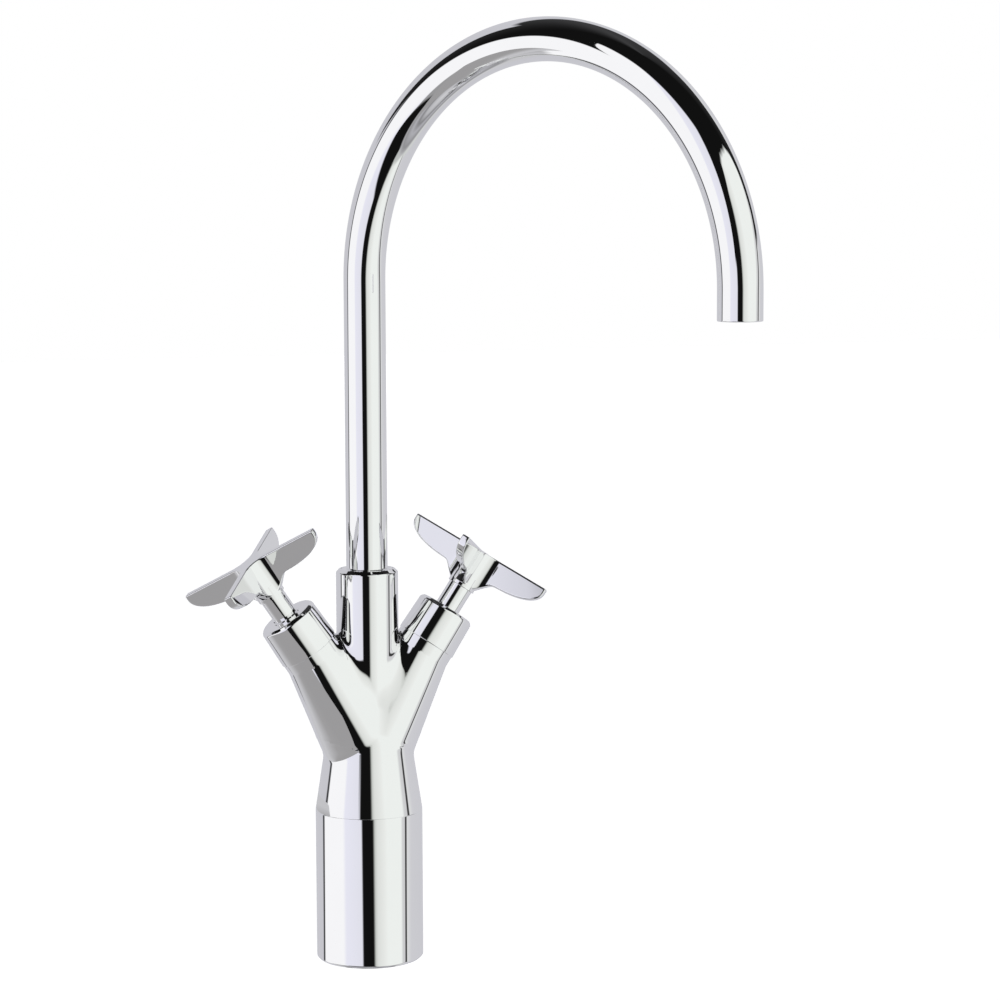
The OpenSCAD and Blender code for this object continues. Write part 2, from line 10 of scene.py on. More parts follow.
import bpy
import numpy as np
from bpy.props import FloatProperty, FloatVectorProperty, IntProperty, PointerProperty
from mathutils import Matrix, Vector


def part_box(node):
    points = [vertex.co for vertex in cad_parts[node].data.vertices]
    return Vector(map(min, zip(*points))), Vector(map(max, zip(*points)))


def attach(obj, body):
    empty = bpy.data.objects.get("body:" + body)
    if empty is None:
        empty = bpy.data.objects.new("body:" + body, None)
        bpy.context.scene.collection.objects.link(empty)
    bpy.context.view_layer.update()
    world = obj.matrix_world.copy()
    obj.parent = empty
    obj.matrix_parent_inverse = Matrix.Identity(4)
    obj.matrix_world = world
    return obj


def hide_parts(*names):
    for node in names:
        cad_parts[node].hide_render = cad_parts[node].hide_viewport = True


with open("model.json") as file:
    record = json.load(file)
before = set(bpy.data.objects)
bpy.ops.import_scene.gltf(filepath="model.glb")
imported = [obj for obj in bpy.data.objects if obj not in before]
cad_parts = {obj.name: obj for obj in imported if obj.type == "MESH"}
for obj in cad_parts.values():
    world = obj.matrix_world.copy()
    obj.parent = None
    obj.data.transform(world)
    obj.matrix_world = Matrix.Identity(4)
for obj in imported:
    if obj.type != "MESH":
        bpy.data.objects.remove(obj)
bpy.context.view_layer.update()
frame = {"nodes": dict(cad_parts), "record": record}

bl_info = {
    "name": "Basin tap",
    "version": (1, 0, 0),
    "blender": (4, 5, 0),
    "location": "3D View > Sidebar > Tap",
    "description": "Makes a two-handle basin tap with a tall swan-neck spout",
    "category": "Add Mesh",
}

COLUMN_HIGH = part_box("base_column")[1]
COLLAR_TOP = float(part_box("gland_nut")[1][2])
UP, ACROSS_ARMS = np.array([0.0, 0.0, 1.0]), np.array([0.0, 1.0, 0.0])
SIDES = {"hot": -1, "cold": 1}

# Fixed sizes of the inner fits, which the CAD pieces share
CROSS_RISE = 0.0365  # from the column's top to the crossing of the axes
SPIGOT_RADIUS = 0.0155
STEM_BORE = 0.00405
SCREW_HOLE = 0.00205
HANDLE_RISE = 0.0125  # from the bonnet's top to the handle's lower face

# The tent and the card are turned about the tap, nearly to the camera's heading
ROOM_TURN = math.radians(16)
TENT_MIDDLE = 0.2


# Properties

class TapColumnSizes(bpy.types.PropertyGroup):
    """Sizes of the turned column."""
    radius: FloatProperty(
        name="Radius", description="Outside radius of the column", unit="LENGTH",
        default=float(COLUMN_HIGH[0]))
    height: FloatProperty(
        name="Height", description="Height of the column's top", unit="LENGTH",
        default=float(COLUMN_HIGH[2]))
    bore: FloatProperty(
        name="Bore", description="Radius of the hollow below the flange", unit="LENGTH",
        default=0.020)
    rim: FloatProperty(
        name="Rim", description="Rounding of the top edge at the joint", unit="LENGTH",
        default=0.0003, precision=4)


class TapBodySizes(bpy.types.PropertyGroup):
    """Sizes of the Y-shaped valve body."""
    collar: FloatProperty(
        name="Collar radius", description="Radius of the collar that holds the spout",
        unit="LENGTH", default=0.015)
    tilt: FloatProperty(
        name="Arm tilt", description="Lean of each arm from upright", subtype="ANGLE",
        default=math.radians(34))
    arm_radius: FloatProperty(
        name="Arm radius", description="Radius of an arm's straight end", unit="LENGTH",
        default=0.0146)
    arm_length: FloatProperty(
        name="Arm length", description="From the crossing of the axes to the arm's end",
        unit="LENGTH", default=0.053)
    lower_fillet: FloatProperty(
        name="Lower fillet", description="Radius of the hollow under the arms", unit="LENGTH",
        default=0.008)
    crotch_fillet: FloatProperty(
        name="Crotch fillet", description="Radius of the hollow between collar and arm",
        unit="LENGTH", default=0.0012)
    flank_fillet: FloatProperty(
        name="Flank fillet", description="Radius that the hollow grows to on the front and back",
        unit="LENGTH", default=0.0085)
    cell: FloatProperty(
        name="Cell", description="Spacing of the grid that the body is worked out on",
        unit="LENGTH", default=0.0008, precision=5)


class TapSpoutSizes(bpy.types.PropertyGroup):
    """Sizes of the swan-neck tube."""
    radius: FloatProperty(
        name="Radius", description="Outside radius of the tube", unit="LENGTH", default=0.010)
    wall: FloatProperty(
        name="Wall", description="Wall of the tube", unit="LENGTH", default=0.0012,
        precision=4)
    bend: FloatProperty(
        name="Bend", description="Radius of the bend's middle line", unit="LENGTH",
        default=0.1104, precision=4)
    foot: FloatProperty(
        name="Foot", description="Height of the tube's lower end", unit="LENGTH", default=0.158)
    spring: FloatProperty(
        name="Spring", description="Height at which the bend starts", unit="LENGTH",
        default=0.3306, precision=4)
    outlet: FloatProperty(
        name="Outlet", description="Straight end below the bend", unit="LENGTH",
        default=0.0136, precision=4)
    turn: FloatProperty(
        name="Turn", description="Direction of the reach from +x", subtype="ANGLE",
        default=math.radians(-59))


class TapHandleSizes(bpy.types.PropertyGroup):
    """Sizes of the bonnets, the stems and the winged handles."""
    bonnet: FloatProperty(
        name="Bonnet radius", description="Radius of the bonnet's lower edge", unit="LENGTH",
        default=0.015)
    bonnet_top: FloatProperty(
        name="Bonnet top radius", description="Radius of the bonnet below its bevel",
        unit="LENGTH", default=0.0144, precision=4)
    bonnet_height: FloatProperty(
        name="Bonnet height", description="Height of the bonnet", unit="LENGTH",
        default=0.0195, precision=4)
    stem: FloatProperty(
        name="Stem radius", description="Radius of the sleeve under the handle", unit="LENGTH",
        default=0.0062, precision=4)
    wing: FloatProperty(
        name="Wing", description="Length of a wing from the stem's axis", unit="LENGTH",
        default=0.038)
    wing_thickness: FloatProperty(
        name="Wing thickness", description="Thickness of a wing", unit="LENGTH",
        default=0.0042, precision=4)
    hollow: FloatProperty(
        name="Hollow", description="Radius of the hollow between two wings", unit="LENGTH",
        default=0.009)
    height: FloatProperty(
        name="Height", description="Height of the handle", unit="LENGTH", default=0.020)
    edge: FloatProperty(
        name="Edge", description="Rounding of the wings' edges", unit="LENGTH",
        default=0.0006, precision=4)
    turn: FloatProperty(
        name="Turn", description="Angle at which the wings stand", subtype="ANGLE",
        default=math.radians(55))
    cell: FloatProperty(
        name="Cell", description="Spacing of the grid that a handle is worked out on",
        unit="LENGTH", default=0.00045, precision=5)


class TapFinishes(bpy.types.PropertyGroup):
    """Colours of the finishes."""
    chrome: FloatVectorProperty(
        name="Chrome", description="Reflected colour of the plating", subtype="COLOR",
        default=(0.93, 0.93, 0.935), min=0, max=1)
    brass: FloatVectorProperty(
        name="Brass", description="Turned brass", subtype="COLOR",
        default=(0.72, 0.52, 0.22), min=0, max=1)
    steel: FloatVectorProperty(
        name="Steel", description="Stainless steel", subtype="COLOR",
        default=(0.56, 0.57, 0.58), min=0, max=1)
    rubber: FloatVectorProperty(
        name="Rubber", description="Moulded rubber", subtype="COLOR",
        default=(0.025, 0.025, 0.027), min=0, max=1)
    ceramic: FloatVectorProperty(
        name="Ceramic", description="Lapped ceramic", subtype="COLOR",
        default=(0.82, 0.79, 0.72), min=0, max=1)
    nylon: FloatVectorProperty(
        name="Nylon", description="Plain nylon", subtype="COLOR",
        default=(0.74, 0.73, 0.68), min=0, max=1)
    insert: FloatVectorProperty(
        name="Aerator insert", description="Grey plastic of the aerator", subtype="COLOR",
        default=(0.42, 0.43, 0.45), min=0, max=1)


class TapStudio(bpy.types.PropertyGroup):
    """The studio round the tap."""
    radius: FloatProperty(
        name="Tent radius", description="Radius of the tent that the chrome mirrors",
        unit="LENGTH", default=8.0)
    floor: FloatVectorProperty(
        name="Floor", description="Colour of the floor", subtype="COLOR",
        default=(0.86, 0.86, 0.86), min=0, max=1)
    lens: FloatProperty(
        name="Lens", description="Focal length of the camera", unit="CAMERA", default=106.15)
    segments: IntProperty(
        name="Segments", description="Faces round the tent", default=96, min=12)


# Surfaces

def rounded(corners, spacing, steps=6):
    """A closed profile in (radius, height) with an arc at every corner, and its outward normals.

    corners lists (radius, height, rounding) anticlockwise. The arc at a corner whose edges turn
    through the angle w starts and ends rounding * tan(w / 2) from the corner, and its normal turns
    evenly from the first edge's to the second's. Long edges get points at about the spacing.
    """
    data = np.array(corners, float)
    point, radius = data[:, :2], data[:, 2]
    before = unit(point - np.roll(point, 1, 0))
    after = unit(np.roll(point, -1, 0) - point)
    turn = np.arctan2(
        before[:, 0] * after[:, 1] - before[:, 1] * after[:, 0], (before * after).sum(1))
    normal = np.stack([before[:, 1], -before[:, 0]], 1)
    side = np.sign(turn)[:, None]
    start = point - before * (radius * np.tan(np.abs(turn) / 2))[:, None]
    centre = start - normal * side * radius[:, None]
    angle = turn[:, None] * np.linspace(0, 1, steps + 1)
    cos, sin = np.cos(angle), np.sin(angle)
    swung = np.stack([
        normal[:, :1] * cos - normal[:, 1:] * sin,
        normal[:, :1] * sin + normal[:, 1:] * cos], -1)
    arcs = centre[:, None] + swung * (side * radius[:, None])[:, None]
    leave, arrive = arcs[:, -1], np.roll(arcs[:, 0], -1, 0)
    count = np.floor(np.linalg.norm(arrive - leave, axis=1) / spacing).astype(int)
    edge = np.repeat(np.arange(len(point)), count)
    place = np.arange(count.sum()) - np.repeat(np.cumsum(count) - count, count) + 1
    share = (place / (count[edge] + 1))[:, None]
    between = leave[edge] * (1 - share) + arrive[edge] * share
    order = np.argsort(np.concatenate([
        (np.arange(len(point))[:, None] + np.linspace(0, 0.5, steps + 1)).ravel(),
        edge + 0.5 + 0.49 * share[:, 0]]), kind="stable")
    points = np.concatenate([arcs.reshape(-1, 2), between])[order]
    normals = np.concatenate([swung.reshape(-1, 2), swung[edge, -1]])[order]
    return points, normals


def unit(vectors):
    """Vectors divided by their lengths."""
    return vectors / np.maximum(np.linalg.norm(vectors, axis=-1, keepdims=True), 1e-12)


def carried(profile, path, around):
    """A closed profile carried round a path: point = C(s) + r (cos v N(s) + sin v B(s)).

    The profile gives r and s, and the path gives its place C, its direction T and two crossing
    directions N and B at each s. The normal is the profile's, with its first part along the spoke
    and its second along T. Both parameters close, so the skin has neither seam nor pole.
    """
    (radius, along), (spoke_part, along_part) = profile[0].T, profile[1].T
    place, ahead, across, aside = path(along)
    angle = np.linspace(0, 2 * math.pi, around, endpoint=False)[None, :, None]
    spoke = across[:, None] * np.cos(angle) + aside[:, None] * np.sin(angle)
    points = place[:, None] + radius[:, None, None] * spoke
    normals = spoke_part[:, None, None] * spoke + (along_part[:, None] * ahead)[:, None]
    row, turn = np.meshgrid(np.arange(len(radius)), np.arange(around), indexing="ij")
    next_row, next_turn = (row + 1) % len(radius), (turn + 1) % around
    faces = np.stack([
        row * around + turn, row * around + next_turn,
        next_row * around + next_turn, next_row * around + turn], -1).reshape(-1, 4)
    points, normals = points.reshape(-1, 3), unit(normals.reshape(-1, 3))
    if volume(points, faces) < 0:
        faces = faces[:, ::-1]
    return points, faces, normals[faces]


def volume(points, faces):
    """Signed volume inside four-sided faces, from the cones they span at the origin."""
    a, b, c, d = (points[faces[:, k]] for k in range(4))
    return float((np.cross(a, b) * c + np.cross(a, c) * d).sum() / 6)


def straight(origin, axis):
    """A straight path: C(s) = origin + s axis."""
    axis = unit(np.array(axis, float))
    across = unit(np.cross(axis, ACROSS_ARMS))
    aside = np.cross(axis, across)

    def path(s):
        ones = np.ones((len(s), 1))
        return np.array(origin) + s[:, None] * axis, ones * axis, ones * across, ones * aside
    return path


def swan_neck(sizes):
    """The tube's path: up, over a half turn of the bend's radius, and down to the mouth.

    With s measured from the foot, the half turn starts at the spring and its angle is
    (s - rise) / bend, held between 0 and pi; what is left of s runs straight.
    """
    rise = sizes.spring - sizes.foot
    reach = np.array([math.cos(sizes.turn), math.sin(sizes.turn), 0.0])

    def path(s):
        angle = np.clip((s - rise) / sizes.bend, 0, math.pi)
        below = np.minimum(s - rise, 0)
        past = np.maximum(s - rise - math.pi * sizes.bend, 0)
        cos, sin = np.cos(angle)[:, None], np.sin(angle)[:, None]
        place = (
            sizes.bend * (1 - cos) * reach
            + (sizes.spring + sizes.bend * sin + below[:, None] - past[:, None]) * UP)
        ahead = sin * reach + cos * UP
        across = -cos * reach + sin * UP
        return place, ahead, across, np.cross(ahead, across)
    return path


def both(first, *rest):
    """What all of several solids share: the largest distance and which leaf gives it."""
    value, owner = first
    for other, its_owner in rest:
        take = other > value
        value, owner = np.where(take, other, value), np.where(take, its_owner, owner)
    return value, owner


def either(first, *rest):
    """Several solids as one: the smallest distance and which leaf gives it."""
    value, owner = first
    for other, its_owner in rest:
        take = other < value
        value, owner = np.where(take, other, value), np.where(take, its_owner, owner)
    return value, owner


def slope(leaf, points, step=2e-7):
    """The leaf's gradient by central differences."""
    shifts = np.eye(3) * step
    return np.stack(
        [(leaf(points + shift) - leaf(points - shift)) / (2 * step) for shift in shifts], -1)


def settle(points, leaf_one, leaf_two=None, steps=7):
    """Moves points onto a leaf's zero level, or two leaves' shared edge, by Newton's steps."""
    for _ in range(steps):
        value, grad = leaf_one(points), slope(leaf_one, points)
        if leaf_two is None:
            points = points - grad * (value / np.maximum((grad ** 2).sum(1), 1e-9))[:, None]
            continue
        value_two, grad_two = leaf_two(points), slope(leaf_two, points)
        aa, bb = (grad ** 2).sum(1), (grad_two ** 2).sum(1)
        ab = (grad * grad_two).sum(1)
        spread = np.maximum(aa * bb - ab ** 2, 1e-4)
        one = (bb * value - ab * value_two) / spread
        two = (aa * value_two - ab * value) / spread
        points = points - grad * one[:, None] - grad_two * two[:, None]
    return points


def skin(leaves, tree, axes, cell, reach=1.2):
    """The surface of a solid that is given by signed distances, as points, faces and normals.

    Each leaf gives a distance, below zero inside, and tree joins them. A cell of the grid that the
    surface crosses gets one point, the mean of the crossings on the cell's edges, which is then
    settled on its leaf; where two leaves meet in the cell it is settled on both, so that edges
    stay sharp. A point that settles more than reach cells away is settled on the whole solid
    instead. Each crossed edge of the grid is one face, and the normals at its corners are the
    slopes of the leaf that owns it.
    """
    def solid(points):
        return tree([(leaf(points), np.int8(k)) for k, leaf in enumerate(leaves)])

    grid = np.stack(np.meshgrid(*axes, indexing="ij"), -1)
    level = solid(grid)[0]
    shape = np.array(level.shape)
    total, count = np.zeros((level.size, 3)), np.zeros(level.size)
    low, high = np.full(level.size, len(leaves)), np.full(level.size, -1)
    faces, owners = [], []
    for axis in range(3):
        step, second, third = np.roll(np.eye(3, dtype=int), -axis, 0)
        lower = np.argwhere(np.diff(level < 0, axis=axis))
        upper = lower + step
        v0, v1 = level[tuple(lower.T)], level[tuple(upper.T)]
        share = (v0 / (v0 - v1))[:, None]
        points = grid[tuple(lower.T)] * (1 - share) + grid[tuple(upper.T)] * share
        owner = solid(points)[1]
        ring = np.stack([lower - second - third, lower - third, lower, lower - second], 1)
        ring[v0 > 0] = ring[v0 > 0][:, ::-1]
        flat = np.ravel_multi_index(tuple(np.moveaxis(ring, -1, 0)), tuple(shape))
        for corner in flat.T:
            np.add.at(total, corner, points)
            np.add.at(count, corner, 1)
            np.minimum.at(low, corner, owner)
            np.maximum.at(high, corner, owner)
        faces.append(flat)
        owners.append(owner)
    faces, owners = np.concatenate(faces), np.concatenate(owners)
    used, faces = np.unique(faces, return_inverse=True)
    faces = faces.reshape(-1, 4)
    start = total[used] / count[used][:, None]
    low, high = low[used], high[used]
    points = start.copy()
    for pair in np.unique(np.stack([low, high], 1), axis=0):
        pick = (low == pair[0]) & (high == pair[1])
        two = None if pair[0] == pair[1] else leaves[pair[1]]
        points[pick] = settle(start[pick], leaves[pair[0]], two)
    lost = ~(np.linalg.norm(points - start, axis=1) < reach * cell)
    points[lost] = settle(start[lost], lambda p: solid(p)[0])
    normals = np.zeros(faces.shape + (3,))
    for owner in np.unique(owners):
        own = owners == owner
        near, back = np.unique(faces[own], return_inverse=True)
        normals[own] = unit(slope(leaves[owner], points[near]))[back.reshape(-1, 4)]
    return points, faces, normals


# Distances

def rounded_both(a, b, radius):
    """The space that two solids share, with its edge rounded.

    Inside the edge's strip the distance is the length of (a + r, b + r) less r, where a and b are
    the two distances.
    """
    outer = np.hypot(np.maximum(a + radius, 0), np.maximum(b + radius, 0)) - radius
    return outer + np.minimum(np.maximum(a, b) + radius, 0)


def filleted(first, second, radius, ball=1.17):
    """Two solids as one, with the crease between them filled as by a ball of the radius.

    first and second are (distance, slope). With c the cosine between the slopes and
    k = ball r (1 - c), the joint distance is min(a, b) - k h h / 4, where h falls from one on
    the line a = b to zero where the two distances differ by k. The joint slope turns from the
    nearer solid's towards the other's by h h / 2.
    """
    (a, slope_a), (b, slope_b) = first, second
    c = (slope_a * slope_b).sum(-1)
    k = ball * radius * (1 - c) + 1e-7
    h = np.clip(1 - np.abs(a - b) / k, 0, 1)
    near = (a < b)[..., None]
    nearest, other = np.where(near, slope_a, slope_b), np.where(near, slope_b, slope_a)
    share = (h * h)[..., None] / 2
    return np.minimum(a, b) - k * h * h / 4, unit((1 - share) * nearest + share * other)


def bent(height, start, width):
    """Zero below the start and t = height - start above it, eased: (t + sqrt(t t + w w)) / 2."""
    t = height - start
    return (t + np.sqrt(t * t + width * width)) / 2


def crossing(column):
    """Where the column's axis and the two arms' axes meet."""
    return (column.height + CROSS_RISE) * UP


def arm_frame(side, tilt):
    """The directions of an arm: along it, and across it in the plane of the two arms."""
    return (
        np.array([side * math.sin(tilt), 0.0, math.cos(tilt)]),
        np.array([math.cos(tilt), 0.0, -side * math.sin(tilt)]))


def arm_places(points, side, tilt, origin):
    """How far up an arm's axis points lie and how far off it, the spoke to each, and the axis."""
    along, across = arm_frame(side, tilt)
    local = points - origin
    s = local @ along
    x, y = local @ across, local[..., 1]
    radius = np.maximum(np.hypot(x, y), 1e-9)
    spoke = (x / radius)[..., None] * across + (y / radius)[..., None] * ACROSS_ARMS
    return s, radius, spoke, along


def core_solid(points, body, column):
    """The turned core: radius R(z) falls along two cones and eases into the collar.

    The distance is (r - R) / sqrt(1 + R' R').
    """
    first, cross_ease = -0.1556, 0.0015
    neck_rise, neck_ease = 0.014, 0.004
    z = points[..., 2]
    radius = np.maximum(np.hypot(points[..., 0], points[..., 1]), 1e-9)
    foot, cross = column.height, column.height + CROSS_RISE
    neck = cross + neck_rise
    second = (body.collar - (column.radius + first * CROSS_RISE)) / neck_rise
    wanted = column.radius + first * (z - foot)
    lean = np.full_like(z, first)
    for start, change, width in (
            (cross, second - first, cross_ease), (neck, -second, neck_ease)):
        wanted = wanted + change * bent(z, start, width)
        t = z - start
        lean = lean + change * (1 + t / np.sqrt(t * t + width * width)) / 2
    long = np.sqrt(1 + lean ** 2)
    spoke = points[..., :2] / radius[..., None]
    grad = np.concatenate([spoke, -lean[..., None]], -1) / long[..., None]
    return (radius - wanted) / long, grad


def arm_solid(points, side, body, column):
    """An arm: a straight end and a cone that leans inwards, touching one ball where they meet."""
    straight_end, root = 0.0065, 0.054
    kink, taper = math.radians(4.8), math.radians(6.6)
    cross = crossing(column)
    s, radius, spoke, _ = arm_places(points, side, body.tilt, cross)
    mitre = body.arm_length - straight_end
    end = np.maximum(radius - body.arm_radius, mitre - body.arm_radius - s)
    origin = cross + mitre * arm_frame(side, body.tilt)[0]
    t, cone_radius, cone_spoke, along = arm_places(points, side, body.tilt - kink, origin)
    wanted = body.arm_radius / math.cos(taper) - t * math.tan(taper)
    cone = np.maximum((cone_radius - wanted) * math.cos(taper), -root - t)
    cone_slope = cone_spoke * math.cos(taper) + along * math.sin(taper)
    take = end < cone
    return np.where(take, end, cone), np.where(take[..., None], spoke, cone_slope)


def body_leaves(body, column):
    """The leaves of the valve body and how they join.

    The fillet between core and arms is the lower one under the arms. Above the flank's start it
    grows from the crotch fillet, in the arms' plane, to the flank fillet at the front and back.
    The planes of the arms' ends cut only beyond cut_from, so that they miss the collar.
    """
    foot, top, end = column.height, COLLAR_TOP, body.arm_length
    cross = crossing(column)
    arms_fillet, flank_power, flank_limit = 0.012, 2.8, 1.2
    flank_start, flank_rise = foot + 0.0345, 0.016
    bevel, bevel_edge, bevel_reach = 0.0015, 0.0003, 0.01
    spigot_low, spigot_lap = foot - 0.0235, foot + 0.001
    nose, nose_end, nose_start = 0.012, end + 0.007, end - 0.002
    socket, socket_low = 0.0125, top - 0.0415
    water_way, water_start = 0.0095, 0.026
    port, port_place, stud, port_top = 0.0045, 0.0085, 0.0034, foot - 0.0095
    screw_height, cut_from = top - 0.016, 0.0162

    def outside(p):
        """The core and the two arms, with the fillet's radius set by height and by side."""
        arms = filleted(
            arm_solid(p, -1, body, column), arm_solid(p, 1, body, column), arms_fillet)
        out = np.minimum(np.abs(p[..., 1] / body.collar), flank_limit)
        flank = body.crotch_fillet + body.flank_fillet * out ** flank_power
        upper = np.clip((p[..., 2] - flank_start) / flank_rise, 0, 1)
        upper = upper * upper * (3 - 2 * upper)
        radius = body.lower_fillet + (flank - body.lower_fillet) * upper
        return filleted(core_solid(p, body, column), arms, radius)[0]

    def bevelled(p):
        """The outside less a bevel round the collar's top."""
        radius = np.hypot(p[..., 0], p[..., 1])
        slant = (radius + p[..., 2] - (body.collar + top - bevel)) / math.sqrt(2)
        slant = np.where(p[..., 2] > top - bevel_reach, slant, -bevel_reach)
        return rounded_both(outside(p), slant, bevel_edge)

    def round_z(x, y, radius, sign=1):
        return lambda p: sign * (np.hypot(p[..., 0] - x, p[..., 1] - y) - radius)

    def round_arm(side, radius, sign=1):
        return lambda p: sign * (arm_places(p, side, body.tilt, cross)[1] - radius)

    def plane_z(height, sign):
        return lambda p: sign * (p[..., 2] - height)

    def plane_arm(side, distance, sign):
        return lambda p: sign * (arm_places(p, side, body.tilt, cross)[0] - distance)

    leaves = [
        bevelled, plane_z(foot, -1), plane_z(top, 1),
        plane_arm(-1, end, 1), plane_arm(1, end, 1),
        lambda p: -p[..., 0] - cut_from, lambda p: p[..., 0] - cut_from,
        round_z(0, 0, SPIGOT_RADIUS), plane_z(spigot_low, -1), plane_z(spigot_lap, 1),
        round_arm(-1, nose), plane_arm(-1, nose_end, 1), plane_arm(-1, nose_start, -1),
        round_arm(1, nose), plane_arm(1, nose_end, 1), plane_arm(1, nose_start, -1),
        round_z(0, 0, socket, -1), plane_z(socket_low, 1),
        round_arm(-1, water_way, -1), plane_arm(-1, water_start, 1),
        round_arm(1, water_way, -1), plane_arm(1, water_start, 1),
        round_z(-port_place, 0, port, -1), round_z(port_place, 0, port, -1),
        round_z(0, port_place, stud, -1), plane_z(port_top, -1),
        lambda p: SCREW_HOLE - np.hypot(p[..., 0], p[..., 2] - screw_height),
        lambda p: p[..., 1],
    ]

    def tree(leaf):
        outer, low, high, hot_end, cold_end, hot_side, cold_side = leaf[:7]
        spigot, hot_nose, cold_nose = leaf[7:10], leaf[10:13], leaf[13:16]
        bores = leaf[16:18], leaf[18:20], leaf[20:22]
        ports, roof, screw = leaf[22:25], leaf[25], leaf[26:28]
        shell = both(outer, low, high, either(hot_end, hot_side), either(cold_end, cold_side))
        whole = either(shell, both(*spigot), both(*hot_nose), both(*cold_nose))
        return both(
            whole, *(either(*bore) for bore in bores), *(either(hole, roof) for hole in ports),
            either(*screw))
    return leaves, tree


def handle_leaves(handle):
    """The leaves of a handle in its own axes, with z up from its lower face, and how they join."""
    half, hollow = handle.wing_thickness / 2, handle.hollow
    corner = half + hollow
    root, tip, deep, power = 0.013, 0.002, 0.012, 2.3
    hub, hub_top = 0.007, 0.006
    flare = np.array([(deep, root), (0.0134, 0.012), (0.0185, hub), (0.020, hub)]).T
    steepness, least_slope, ease_width = 0.75, 20, 0.004
    bore_top, screw_height = 0.0125, 0.0032

    def plan(p):
        """A cross with hollows of one radius: half the thickness out, arcs near the middle."""
        x = np.maximum(np.abs(p[..., 0]), np.abs(p[..., 1]))
        y = np.minimum(np.abs(p[..., 0]), np.abs(p[..., 1]))
        return np.where(x > corner, y - half, hollow - np.hypot(x - corner, y - corner))

    def turned(p):
        """The lower edge, a quarter of a full ellipse from the tip, eased into the hub's flare.

        With q and w the shares of the wing's length and depth, the edge is where
        (q ** n + w ** n) ** (1 / n) is one.
        """
        radius = np.hypot(p[..., 0], p[..., 1])
        depth = handle.height - p[..., 2]
        q = np.maximum(radius - root, 0) / (handle.wing - root)
        w = np.maximum(depth - tip, 0) / (deep - tip)
        size = np.maximum(q ** power + w ** power, 1e-12) ** (1 / power)
        grad = np.hypot(
            q ** (power - 1) / (handle.wing - root), w ** (power - 1) / (deep - tip)
        ) * size ** (1 - power)
        edge = (size - 1) / np.maximum(grad, least_slope)
        inner = (radius - np.interp(depth, *flare)) * steepness
        ease = np.clip(0.5 + (inner - edge) / ease_width, 0, 1)
        return inner + (edge - inner) * ease - ease_width / 2 * ease * (1 - ease)

    def winged(p):
        """Plan and turned edge shared, closed by the flat top, with the edges rounded."""
        sides = rounded_both(plan(p), turned(p), handle.edge)
        return rounded_both(sides, p[..., 2] - handle.height, handle.edge)

    def screw(p):
        """A hole square to the hub's axis, half way between two wings."""
        across = (p[..., 1] - p[..., 0]) / math.sqrt(2)
        return SCREW_HOLE - np.hypot(across, p[..., 2] - screw_height)

    leaves = [
        winged,
        lambda p: np.hypot(p[..., 0], p[..., 1]) - hub,
        lambda p: p[..., 2] - hub_top,
        lambda p: -p[..., 2],
        lambda p: STEM_BORE - np.hypot(p[..., 0], p[..., 1]),
        lambda p: bore_top - p[..., 2],
        screw,
        lambda p: p[..., 0] + p[..., 1],
    ]

    def tree(leaf):
        wings, hub_side, hub_end, low, bore, roof, hole, hole_end = leaf
        whole = both(either(wings, both(hub_side, hub_end)), low)
        return both(whole, either(bore, roof), either(hole, hole_end))
    return leaves, tree


# Pieces

def add_piece(name, shape, body, nodes, finish="chrome"):
    """Puts points, faces and normals into a mesh that stands for its CAD nodes."""
    points, faces, normals = shape
    old = bpy.data.objects.get(name)
    if old is not None:
        bpy.data.objects.remove(old)
    mesh = bpy.data.meshes.new(name)
    mesh.from_pydata(points.tolist(), [], faces.tolist())
    mesh.polygons.foreach_set("use_smooth", np.ones(len(faces), bool))
    mesh.normals_split_custom_set(normals.reshape(-1, 3).tolist())
    mesh.materials.append(bpy.data.materials["tap_" + finish])
    piece = bpy.data.objects.new(name, mesh)
    bpy.context.scene.collection.objects.link(piece)
    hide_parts(*nodes)
    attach(piece, body)


def turned_on_arm(profile, side, body, column, around):
    """A profile turned about an arm's axis, with its heights counted from the crossing."""
    path = straight(crossing(column), arm_frame(side, body.tilt)[0])
    return carried(profile, path, around)


def even(low, high, cell):
    """Grid places from low to high, no further apart than the cell."""
    return np.linspace(low, high, int(math.ceil((high - low) / cell)) + 1)


class TAP_OT_column(bpy.types.Operator):
    """Turns the column that stands on the basin, with its flange and the gasket's groove"""
    bl_idname = "tap.column"
    bl_label = "Column"
    bl_options = {"REGISTER", "UNDO"}

    def execute(self, context):
        sizes = context.scene.tap_column
        radius, top, bore = sizes.radius, sizes.height, sizes.bore
        groove_in, groove_out, groove_deep = 0.02205, 0.02445, 0.002
        chamfer, chamfer_edge, edge, fine = 0.0012, 0.0009, 0.0002, 0.0001
        mouth, thread = SPIGOT_RADIUS + 0.00005, 0.0196
        flange_low, thread_low = top - 0.0155, top - 0.024
        profile = rounded([
            (bore, 0, edge), (groove_in, 0, fine), (groove_in, groove_deep, fine),
            (groove_out, groove_deep, fine), (groove_out, 0, fine), (radius - chamfer, 0, fine),
            (radius, chamfer, chamfer_edge), (radius, top, sizes.rim), (mouth, top, edge),
            (mouth, flange_low, edge), (thread, flange_low, edge),
            (thread, thread_low, fine), (bore, thread_low, fine)], spacing=0.004)
        shape = carried(profile, straight((0, 0, 0), UP), around=192)
        add_piece("column", shape, "body", ["base_column"])
        return {"FINISHED"}


